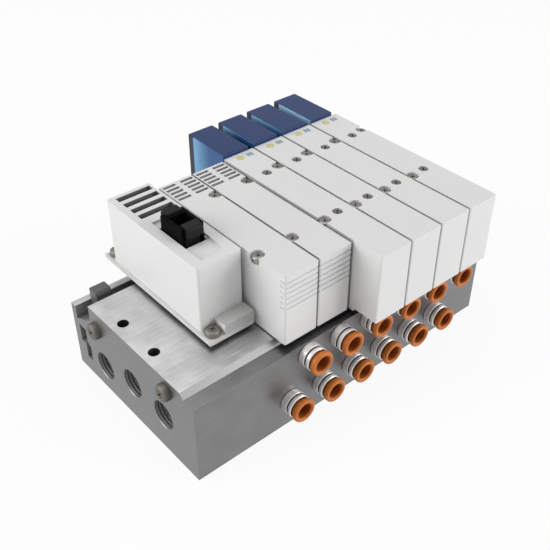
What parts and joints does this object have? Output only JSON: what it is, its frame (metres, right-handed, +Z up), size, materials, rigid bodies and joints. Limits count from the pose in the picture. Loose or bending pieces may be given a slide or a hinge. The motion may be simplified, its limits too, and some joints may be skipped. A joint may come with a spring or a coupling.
{
  "type": "pneumatic valve island",
  "caption": "Pneumatic valve island: aluminium manifold with blanking stations, valves with blue pilot covers, push-in tube fittings and a flat-cable connector box.",
  "frame": {"origin": "centre of the manifold block's flat mounting face", "axes": "+X along the row of stations, away from the end with the supply and exhaust ports; -Y towards the tube fittings; +Z up, out of the mounting face"},
  "size_m": [0.1539, 0.1143, 0.0771],
  "materials": {
    "manifold_aluminium": "brushed extrusion, machined faces",
    "clamp_grey": "dark satin",
    "screw_steel": "zinc-plated steel",
    "gasket_rubber": "matt moulded rubber",
    "white_plastic": "fine moulded texture",
    "black_plastic": "satin moulded",
    "latch_plastic": "satin moulded",
    "pin_gold": "gold-plated pins",
    "blue_plastic": "glossy moulded",
    "override_grey": "satin moulded",
    "yellow_lens": "tinted lens",
    "blue_lens": "tinted lens",
    "fitting_nickel": "bright nickel plating",
    "ring_orange": "satin moulded"
  },
  "bodies": {
    "island": {"manifold_block": "manifold_aluminium", "rail_clamps": "clamp_grey", "end_face_screws": "screw_steel", "station_gaskets": "gasket_rubber", "connector_base": "white_plastic", "connector_housing": "white_plastic", "cable_header": "black_plastic", "header_pins": "pin_gold", "blank_station_1": "white_plastic", "blank_station_2": "white_plastic", "valve_body_1": "white_plastic", "pilot_cover_1": "blue_plastic", "valve_body_2": "white_plastic", "pilot_cover_2": "blue_plastic", "valve_body_3": "white_plastic", "pilot_cover_3": "blue_plastic", "valve_body_4": "white_plastic", "pilot_cover_4": "blue_plastic", "yellow_lenses": "yellow_lens", "blue_lenses": "blue_lens", "fitting_body_lower_1": "fitting_nickel", "fitting_body_lower_2": "fitting_nickel", "fitting_body_lower_3": "fitting_nickel", "fitting_body_lower_4": "fitting_nickel", "fitting_body_lower_5": "fitting_nickel", "fitting_body_lower_6": "fitting_nickel", "fitting_body_upper_1": "fitting_nickel", "fitting_body_upper_2": "fitting_nickel", "fitting_body_upper_3": "fitting_nickel", "fitting_body_upper_4": "fitting_nickel", "fitting_body_upper_5": "fitting_nickel", "fitting_body_upper_6": "fitting_nickel"},
    "release_ring_lower_1_body": {"release_ring_lower_1": "ring_orange"},
    "release_ring_lower_2_body": {"release_ring_lower_2": "ring_orange"},
    "release_ring_lower_3_body": {"release_ring_lower_3": "ring_orange"},
    "release_ring_lower_4_body": {"release_ring_lower_4": "ring_orange"},
    "release_ring_lower_5_body": {"release_ring_lower_5": "ring_orange"},
    "release_ring_lower_6_body": {"release_ring_lower_6": "ring_orange"},
    "release_ring_upper_1_body": {"release_ring_upper_1": "ring_orange"},
    "release_ring_upper_2_body": {"release_ring_upper_2": "ring_orange"},
    "release_ring_upper_3_body": {"release_ring_upper_3": "ring_orange"},
    "release_ring_upper_4_body": {"release_ring_upper_4": "ring_orange"},
    "release_ring_upper_5_body": {"release_ring_upper_5": "ring_orange"},
    "release_ring_upper_6_body": {"release_ring_upper_6": "ring_orange"},
    "override_rear_1_body": {"override_rear_1": "override_grey"},
    "override_front_1_body": {"override_front_1": "override_grey"},
    "override_rear_2_body": {"override_rear_2": "override_grey"},
    "override_front_2_body": {"override_front_2": "override_grey"},
    "override_rear_3_body": {"override_rear_3": "override_grey"},
    "override_front_3_body": {"override_front_3": "override_grey"},
    "override_rear_4_body": {"override_rear_4": "override_grey"},
    "override_front_4_body": {"override_front_4": "override_grey"},
    "header_latch_front_body": {"header_latch_front": "latch_plastic"},
    "header_latch_rear_body": {"header_latch_rear": "latch_plastic"}
  },
  "joints": [
    {"name": "ring_press_lower_1", "type": "slide", "parent": "island", "child": "release_ring_lower_1_body", "axis": [0, 1, 0], "range_m": [0, 0.001], "stiffness_N_per_m": 300, "springref_m": -0.001},
    {"name": "ring_press_lower_2", "type": "slide", "parent": "island", "child": "release_ring_lower_2_body", "axis": [0, 1, 0], "range_m": [0, 0.001], "stiffness_N_per_m": 300, "springref_m": -0.001},
    {"name": "ring_press_lower_3", "type": "slide", "parent": "island", "child": "release_ring_lower_3_body", "axis": [0, 1, 0], "range_m": [0, 0.001], "stiffness_N_per_m": 300, "springref_m": -0.001},
    {"name": "ring_press_lower_4", "type": "slide", "parent": "island", "child": "release_ring_lower_4_body", "axis": [0, 1, 0], "range_m": [0, 0.001], "stiffness_N_per_m": 300, "springref_m": -0.001},
    {"name": "ring_press_lower_5", "type": "slide", "parent": "island", "child": "release_ring_lower_5_body", "axis": [0, 1, 0], "range_m": [0, 0.001], "stiffness_N_per_m": 300, "springref_m": -0.001},
    {"name": "ring_press_lower_6", "type": "slide", "parent": "island", "child": "release_ring_lower_6_body", "axis": [0, 1, 0], "range_m": [0, 0.001], "stiffness_N_per_m": 300, "springref_m": -0.001},
    {"name": "ring_press_upper_1", "type": "slide", "parent": "island", "child": "release_ring_upper_1_body", "axis": [0, 1, 0], "range_m": [0, 0.001], "stiffness_N_per_m": 300, "springref_m": -0.001},
    {"name": "ring_press_upper_2", "type": "slide", "parent": "island", "child": "release_ring_upper_2_body", "axis": [0, 1, 0], "range_m": [0, 0.001], "stiffness_N_per_m": 300, "springref_m": -0.001},
    {"name": "ring_press_upper_3", "type": "slide", "parent": "island", "child": "release_ring_upper_3_body", "axis": [0, 1, 0], "range_m": [0, 0.001], "stiffness_N_per_m": 300, "springref_m": -0.001},
    {"name": "ring_press_upper_4", "type": "slide", "parent": "island", "child": "release_ring_upper_4_body", "axis": [0, 1, 0], "range_m": [0, 0.001], "stiffness_N_per_m": 300, "springref_m": -0.001},
    {"name": "ring_press_upper_5", "type": "slide", "parent": "island", "child": "release_ring_upper_5_body", "axis": [0, 1, 0], "range_m": [0, 0.001], "stiffness_N_per_m": 300, "springref_m": -0.001},
    {"name": "ring_press_upper_6", "type": "slide", "parent": "island", "child": "release_ring_upper_6_body", "axis": [0, 1, 0], "range_m": [0, 0.001], "stiffness_N_per_m": 300, "springref_m": -0.001},
    {"name": "override_press_rear_1", "type": "slide", "parent": "island", "child": "override_rear_1_body", "axis": [0, 0, -1], "range_m": [0, 0.0009], "stiffness_N_per_m": 600, "springref_m": -0.001},
    {"name": "override_press_front_1", "type": "slide", "parent": "island", "child": "override_front_1_body", "axis": [0, 0, -1], "range_m": [0, 0.0009], "stiffness_N_per_m": 600, "springref_m": -0.001},
    {"name": "override_press_rear_2", "type": "slide", "parent": "island", "child": "override_rear_2_body", "axis": [0, 0, -1], "range_m": [0, 0.0009], "stiffness_N_per_m": 600, "springref_m": -0.001},
    {"name": "override_press_front_2", "type": "slide", "parent": "island", "child": "override_front_2_body", "axis": [0, 0, -1], "range_m": [0, 0.0009], "stiffness_N_per_m": 600, "springref_m": -0.001},
    {"name": "override_press_rear_3", "type": "slide", "parent": "island", "child": "override_rear_3_body", "axis": [0, 0, -1], "range_m": [0, 0.0009], "stiffness_N_per_m": 600, "springref_m": -0.001},
    {"name": "override_press_front_3", "type": "slide", "parent": "island", "child": "override_front_3_body", "axis": [0, 0, -1], "range_m": [0, 0.0009], "stiffness_N_per_m": 600, "springref_m": -0.001},
    {"name": "override_press_rear_4", "type": "slide", "parent": "island", "child": "override_rear_4_body", "axis": [0, 0, -1], "range_m": [0, 0.0009], "stiffness_N_per_m": 600, "springref_m": -0.001},
    {"name": "override_press_front_4", "type": "slide", "parent": "island", "child": "override_front_4_body", "axis": [0, 0, -1], "range_m": [0, 0.0009], "stiffness_N_per_m": 600, "springref_m": -0.001},
    {"name": "latch_swing_front", "type": "hinge", "parent": "island", "child": "header_latch_front_body", "pos_m": [-0.04435, -0.00045, 0.0687], "axis": [1, 0, 0], "range_deg": [0, 35]},
    {"name": "latch_swing_rear", "type": "hinge", "parent": "island", "child": "header_latch_rear_body", "pos_m": [-0.04435, 0.01015, 0.0687], "axis": [-1, 0, 0], "range_deg": [0, 35]}
  ]
}
